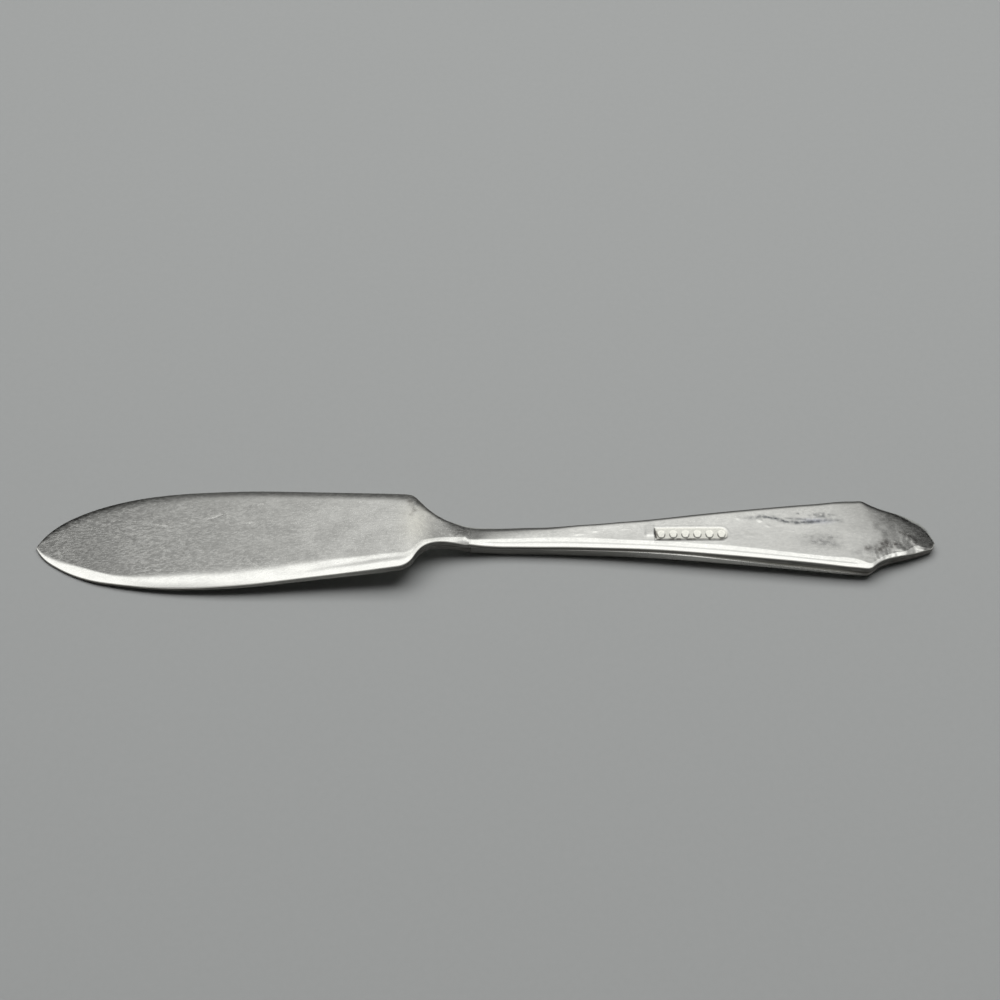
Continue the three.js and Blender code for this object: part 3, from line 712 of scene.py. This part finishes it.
def fineScratchesGroup():  # short light strokes in a few directions, gathered in places
    tree, given, out = newGroup("fineScratches", ("Scale", "Amount"), ("Scratches", "Hairlines"))
    layers = []
    # turn in degrees, stretch along, threshold; the last ones are the hairlines
    for turn, longer, low in ((-14.0, 0.25, 0.53), (6.0, 0.2, 0.53), (-34.0, 0.3, 0.57), (0.0, 0.03, 0.5)):
        flat = turnedFlat(tree, given["Vector"], math.radians(turn))
        drawn = stretched(tree, flat, (longer, 1.0, 0.2), at=(turn, longer, 0.0))
        lines = noise(tree, drawn, given["Scale"], 0.0)
        layers.append(between(tree, lines, low, low + 0.16))
    spread = between(tree, noise(tree, given["Vector"], 120.0, 3.0), 0.3, 0.7, 0.6, 1.0)
    crossed = sums(tree, "MAXIMUM", sums(tree, "MAXIMUM", layers[0], layers[1]), layers[2])
    crossed = sums(tree, "MULTIPLY", sums(tree, "MULTIPLY", crossed, spread), given["Amount"])
    tree.links.new(crossed, out["Scratches"])
    tree.links.new(layers[3], out["Hairlines"])
    return tree


def scuffGroup():  # one light stroke with a soft ragged edge
    tree, given, out = newGroup("scuffStroke", ("At", "Turn", "Length", "Width", "Strength"), ("Mask",))
    away = put(tree, "VectorMath", {0: given["Vector"], 1: given["At"]}, operation="SUBTRACT")
    axes = put(tree, "SeparateXYZ", {0: turnedFlat(tree, away.outputs[0], given["Turn"])}).outputs
    ragged = between(tree, noise(tree, given["Vector"], 2600.0, 2.0), 0.3, 0.7, 0.5, 1.5)
    thin = sums(tree, "MULTIPLY", given["Width"], ragged)
    across = sums(tree, "POWER", sums(tree, "ABSOLUTE", sums(tree, "DIVIDE", axes[1], thin)), 2.0)
    along = sums(tree, "POWER", sums(tree, "ABSOLUTE", sums(tree, "DIVIDE", axes[0], given["Length"])), 2.0)
    fade = sums(tree, "EXPONENT", sums(tree, "MULTIPLY", sums(tree, "ADD", across, along), -1.0))
    upward = put(tree, "SeparateXYZ", {0: put(tree, "NewGeometry").outputs["Normal"]})
    fade = sums(tree, "MULTIPLY", fade, between(tree, upward.outputs[2], 0.5, 0.8))
    tree.links.new(sums(tree, "MULTIPLY", fade, given["Strength"]), out["Mask"])
    return tree


def tarnishAndShadeGroup():  # brown, grey and blue film of old silver, and painted shade, where the masks say
    masks = ("Stain", "Blueing", "Smudge_and_shade", "Crease_shade", "Dirt_and_shade")
    tree, given, out = newGroup("tarnishAndShade", ("Silver", "Film") + masks, ("Color", "Dulling"))
    ragged = between(tree, noise(tree, given["Vector"], 1500.0, 3.0, 0.6), 0.32, 0.62, 0.45, 1.2)
    speck = between(tree, noise(tree, given["Vector"], 2600.0, 1.0), 0.45, 0.6)
    parts = {label: sums(tree, "MULTIPLY", given[label], ragged, clamp=True) for label in masks}
    tone = mixed(tree, given["Film"], given["Silver"], (0.93, 0.92, 0.83, 1))
    blue = mixed(tree, speck, (0.72, 0.74, 0.82, 1), (0.5, 0.52, 0.6, 1))
    # smudge colour: smudges and painted shade; crease colour: painted shade; dirt colour: a stain by the
    # heel and painted shade in the panel
    for label, colour in (("Smudge_and_shade", (0.5, 0.5, 0.48, 1)), ("Blueing", blue),
                          ("Stain", (0.15, 0.16, 0.167, 1)), ("Crease_shade", (0.26, 0.25, 0.235, 1)),
                          ("Dirt_and_shade", (0.16, 0.145, 0.12, 1))):
        tone = mixed(tree, parts[label], tone, colour)
    tree.links.new(tone, out["Color"])
    dull = sums(tree, "MAXIMUM", sums(tree, "MAXIMUM", parts["Stain"], parts["Smudge_and_shade"]), parts["Crease_shade"])
    tree.links.new(dull, out["Dulling"])
    return tree


def wallGrimeAndShadeGroup():  # dull trimmed side walls, darkened with grime and painted shade, with streaks along them
    tree, given, out = newGroup("wallGrimeAndShade", ("Silver", "Side"), ("Color", "Dulling"))
    streaks = noise(tree, stretched(tree, given["Vector"], (0.05, 1.0, 1.0)), 2600.0, 3.0)
    # dark wall colours: grime and painted shade
    dark = mixed(tree, between(tree, streaks, 0.35, 0.65), (0.115, 0.11, 0.1, 1), (0.2, 0.195, 0.18, 1))
    tree.links.new(mixed(tree, given["Side"], given["Silver"], dark), out["Color"])
    streaked = between(tree, streaks, 0.3, 0.7, 0.6, 1.0)
    tree.links.new(sums(tree, "MULTIPLY", given["Side"], streaked), out["Dulling"])
    return tree


satinGrain, fineScratches = satinGrainGroup(), fineScratchesGroup()
tarnishAndShade, wallGrimeAndShade, scuffStroke = tarnishAndShadeGroup(), wallGrimeAndShadeGroup(), scuffGroup()

plate = {  # worn silver plate, the same on blade and handle
    "bright": (0.97, 0.97, 0.92, 1), "cloudRough": 0.03, "scratchRough": 0.06, "scuffRough": 0.12,
    "filmRough": 0.10, "grimeRough": 0.18, "mottle": (0.5, 0.5), "grainHeight": 0.07, "bump": 0.5,
    "bandClear": 0.8, "bandSmooth": 2.5,   # how fast scratches and grain end towards the burnished bands
}
bumpDepth = 0.00003
finishes = {
    "bladeSilver": plate | {
        "dull": (0.69, 0.69, 0.655, 1), "rough": 0.17, "bevelPolish": 0.05, "hairHeight": 0.008,
        "clouds": 400.0, "grain": 3100.0, "scratchScale": 4200.0, "scratches": 0.75, "scatter": 0.3,
        "scuffScatter": 0.5, "strokes": blade["scuffs"]},
    "handleSilver": plate | {
        "dull": (0.77, 0.77, 0.73, 1), "rough": 0.16, "bevelPolish": 0.03, "hairHeight": 0.01,
        "clouds": 260.0, "grain": 2700.0, "scratchScale": 4000.0, "scratches": 0.5, "scatter": 0.15,
        "scuffScatter": 0.4, "strokes": handle["scuffs"]},
    "silverSolder": {
        "bright": (0.93, 0.93, 0.88, 1), "dull": (0.84, 0.84, 0.795, 1), "rough": 0.2, "cloudRough": 0.08,
        "clouds": 900.0, "grain": 3500.0, "bump": 0.4},
}


def silverFinish(name):
    look = finishes[name]
    material, tree, vector = newMaterial(name)
    masks = ("stain", "blueing", "smudge_and_shade", "crease_shade", "dirt_and_shade", "film")
    mark = {label: put(tree, "Attribute", attribute_name=label).outputs["Fac"]
            for label in ("bevel", "sideWall") + masks}
    grain = place(tree, satinGrain, {"Vector": vector, "Cloud Scale": look["clouds"],
                                     "Grain Scale": look["grain"]})
    scratch = place(tree, fineScratches, {"Vector": vector, "Scale": look["scratchScale"],
                                          "Amount": look["scratches"]})
    scuff = 0.0
    for at, across, length, turn, wide, strength in look["strokes"]:
        middle = ((at - form["middle"]) * mm, across * mm, 0.0)
        one = place(tree, scuffStroke, {
            "Vector": vector, "At": middle, "Turn": math.radians(-turn), "Length": length / 2 * mm,
            "Width": wide * mm, "Strength": strength})
        scuff = sums(tree, "MAXIMUM", one["Mask"], scuff)
    flat = sums(tree, "MULTIPLY_ADD", mark["bevel"], -look["bandClear"], 1.0, clamp=True)
    scratched = sums(tree, "MULTIPLY", scratch["Scratches"], flat)
    cloudShare, grainShare = look["mottle"]
    mottle = sums(tree, "ADD", sums(tree, "MULTIPLY", grain["Clouds"], cloudShare),
                  sums(tree, "MULTIPLY", grain["Grain"], grainShare))
    silver = mixed(tree, sums(tree, "MULTIPLY", mottle, flat), look["bright"], look["dull"])
    # the film carries painted shade as well as tarnish
    film = place(tree, tarnishAndShade, {"Vector": vector, "Silver": silver} |
                 {label.capitalize(): mark[label] for label in masks})
    grimeAndShade = place(tree, wallGrimeAndShade, {"Vector": vector, "Silver": film["Color"], "Side": mark["sideWall"]})
    rough = look["rough"]
    for value, more in ((grain["Clouds"], look["cloudRough"]), (scratched, look["scratchRough"]),
                        (scuff, look["scuffRough"]), (mark["bevel"], -look["bevelPolish"]),
                        (film["Dulling"], look["filmRough"])):
        rough = sums(tree, "MULTIPLY_ADD", value, more, rough)
    rough = sums(tree, "MULTIPLY_ADD", grimeAndShade["Dulling"], look["grimeRough"], rough, clamp=True)
    height = sums(tree, "MULTIPLY", grain["Grain"], look["grainHeight"])
    height = sums(tree, "MULTIPLY_ADD", scratch["Hairlines"], -look["hairHeight"], height)
    plain = sums(tree, "MULTIPLY_ADD", mark["bevel"], -look["bandSmooth"], 1.0, clamp=True)
    height = sums(tree, "MULTIPLY", height, plain)
    bump = put(tree, "Bump", {"Strength": look["bump"], "Distance": bumpDepth, "Height": height})
    metal = sums(tree, "MULTIPLY_ADD", scratched, -look["scatter"], 1.0)  # scratched metal scatters light
    metal = sums(tree, "MULTIPLY_ADD", scuff, -look["scuffScatter"], metal, clamp=True)
    surface(tree, {"Base Color": grimeAndShade["Color"], "Metallic": metal, "Roughness": rough,
                   "Normal": bump.outputs[0]})
    return material


def solderFinish(name):
    look = finishes[name]
    material, tree, vector = newMaterial(name)
    grain = place(tree, satinGrain, {"Vector": vector, "Cloud Scale": look["clouds"],
                                     "Grain Scale": look["grain"]})
    tone = mixed(tree, grain["Clouds"], look["bright"], look["dull"])
    side = put(tree, "Attribute", attribute_name="sideWall").outputs["Fac"]
    grimeAndShade = place(tree, wallGrimeAndShade, {"Vector": vector, "Silver": tone, "Side": side})
    rough = sums(tree, "MULTIPLY_ADD", grain["Clouds"], look["cloudRough"], look["rough"])
    bump = put(tree, "Bump", {"Strength": look["bump"], "Distance": bumpDepth, "Height": grain["Grain"]})
    surface(tree, {"Base Color": grimeAndShade["Color"], "Metallic": 1.0, "Roughness": rough,
                   "Normal": bump.outputs[0]})
    return material


bladePiece.data.materials.append(silverFinish("bladeSilver"))
handlePiece.data.materials.append(silverFinish("handleSilver"))
solderPiece.data.materials.append(solderFinish("silverSolder"))
print("finishes done")

table = {"size": 8.0, "tone": (0.42, 0.43, 0.425, 1), "fleck": (0.40, 0.41, 0.405, 1), "fleckScale": 900.0,
         "rough": 0.75, "shine": 0.2}


def makeTable():
    reach = table["size"] / 2
    mesh = bpy.data.meshes.new("tableTop")
    corners = [(-reach, -reach, 0), (reach, -reach, 0), (reach, reach, 0), (-reach, reach, 0)]
    mesh.from_pydata(corners, [], [(0, 1, 2, 3)])
    floor = bpy.data.objects.new("tableTop", mesh)
    scene.collection.objects.link(floor)
    material, tree, vector = newMaterial("paleTable")
    tone = mixed(tree, noise(tree, vector, table["fleckScale"], 3.0), table["tone"], table["fleck"])
    surface(tree, {"Base Color": tone, "Roughness": table["rough"], "Specular IOR Level": table["shine"]})
    mesh.materials.append(material)


makeTable()

# soft dome; stops are (direction from -1 to 1, grey): depth to the far side, the others along the spreader
studio = {
    "depthStops": ((-1, 0.01), (-0.4, 0.015), (-0.2, 0.04), (-0.08, 0.18), (0, 0.55), (0.08, 0.92),
        (0.15, 1.1), (0.3, 1.12), (0.4, 0.32), (0.46, 0.12), (0.55, 0.08), (0.7, 0.1), (0.85, 0.1),
        (1, 0.07)),
    "sideStops": ((-0.85, 0.15), (-0.6, 1), (0.42, 1), (0.5, 0.78), (0.56, 0.58), (0.66, 0.32),
        (0.85, 0.12)),
    "fillStops": ((-0.6, 0), (-0.31, 0), (-0.29, 0.12), (-0.27, 0.41), (-0.25, 0.6), (-0.19, 0.585),
        (-0.15, 0.6), (-0.05, 0.65), (0.05, 0.66), (0.15, 0.6), (0.2, 0.54), (0.24, 0.56), (0.29, 0.6),
        (0.32, 0.45), (0.36, 0.22), (0.39, 0.1), (0.43, 0.045), (0.5, 0.02), (0.8, 0)),
    "fillDepth": (0.28, 0.42, 0.57, 0.90),   # where the fill comes in and goes out
    "farSpread": (0.54, 2.5, -0.4),   # past this depth the sides close in: how fast, and how far off centre
    # seen from other sides the silver mirrors a plain pale room: where it starts, and its grey
    "roomNear": (-0.3, -0.08), "roomSide": (0.78, 0.92), "room": (0.5, 0.5, 0.49, 1),
    "backdrop": (0.36, 0.37, 0.365, 1),   # what the camera sees past the table
    "level": 1.0,
    "lampAt": (0.02, 0.22, 0.57), "lampSize": (0.8, 0.36), "lampPower": 3.0,
}


def greyRamp(tree, value, stops):
    made = put(tree, "ValToRGB", {"Fac": sums(tree, "MULTIPLY_ADD", value, 0.5, 0.5)})
    made.color_ramp.interpolation = "EASE"
    knots = made.color_ramp.elements
    knots.remove(knots[-1])
    for k, (at, grey) in enumerate(stops):
        knot = knots[0] if k == 0 else knots.new(at * 0.5 + 0.5)
        knot.position = at * 0.5 + 0.5
        knot.color = (grey, grey, grey, 1)
    return made.outputs[0]


def makeStudio():
    world = bpy.data.worlds.new("softDome")
    scene.world = world
    world.use_nodes = True
    tree = world.node_tree
    tree.nodes.clear()
    direction = put(tree, "SeparateXYZ", {0: put(tree, "TexCoord").outputs["Generated"]}).outputs
    x, y = direction["X"], direction["Y"]
    depth, fill = greyRamp(tree, y, studio["depthStops"]), greyRamp(tree, x, studio["fillStops"])
    a, b, c, d = studio["fillDepth"]
    band = sums(tree, "MULTIPLY", between(tree, y, a, b), between(tree, y, c, d, 1.0, 0.0))
    start, fast, aside = studio["farSpread"]
    past = sums(tree, "MAXIMUM", sums(tree, "SUBTRACT", y, start), 0.0)
    across = sums(tree, "MULTIPLY_ADD", x, sums(tree, "MULTIPLY_ADD", past, fast, 1.0),
                  sums(tree, "MULTIPLY", past, aside))
    sides = greyRamp(tree, across, studio["sideStops"])
    sky = mixed(tree, band, mixed(tree, 1.0, depth, sides, blend="MULTIPLY"), fill, blend="ADD")
    rays = put(tree, "LightPath").outputs
    around = sums(tree, "MAXIMUM", between(tree, y, *studio["roomNear"], 1.0, 0.0),
                  between(tree, sums(tree, "ABSOLUTE", x), *studio["roomSide"]))
    sky = mixed(tree, sums(tree, "MULTIPLY", around, rays["Is Glossy Ray"]), sky, studio["room"])
    sky = mixed(tree, rays["Is Camera Ray"], sky, studio["backdrop"])
    back = put(tree, "Background", {"Color": sky, "Strength": studio["level"]})
    put(tree, "OutputWorld", {"Surface": back.outputs[0]})
    lamp = bpy.data.lights.new("topSoftbox", "AREA")
    lamp.shape = "RECTANGLE"
    lamp.size, lamp.size_y = studio["lampSize"]
    lamp.energy = studio["lampPower"]
    softbox = bpy.data.objects.new("topSoftbox", lamp)
    softbox.location = studio["lampAt"]
    softbox.visible_glossy = False  # the dome alone gives the metal its reflections
    softbox.rotation_mode = "QUATERNION"
    softbox.rotation_quaternion = Vector(studio["lampAt"]).to_track_quat("Z", "Y")
    scene.collection.objects.link(softbox)


makeStudio()

camera = {"at": (0.0015114, -0.1633847, 0.2516012), "aim": (0.0026616, 0.0094406, 0.0),
          "lens": 62.316, "sensor": 36.0, "nearest": 0.01, "farthest": 10}


def makeCamera():
    data = bpy.data.cameras.new("photoCamera")
    data.lens, data.sensor_width = camera["lens"], camera["sensor"]
    data.clip_start, data.clip_end = camera["nearest"], camera["farthest"]
    eye = bpy.data.objects.new("photoCamera", data)
    eye.location = camera["at"]
    eye.rotation_mode = "QUATERNION"
    eye.rotation_quaternion = (Vector(camera["aim"]) - Vector(camera["at"])).to_track_quat("-Z", "Y")
    scene.collection.objects.link(eye)
    scene.camera = eye


makeCamera()
scene.view_settings.view_transform = "Standard"
print("table, light and camera set")
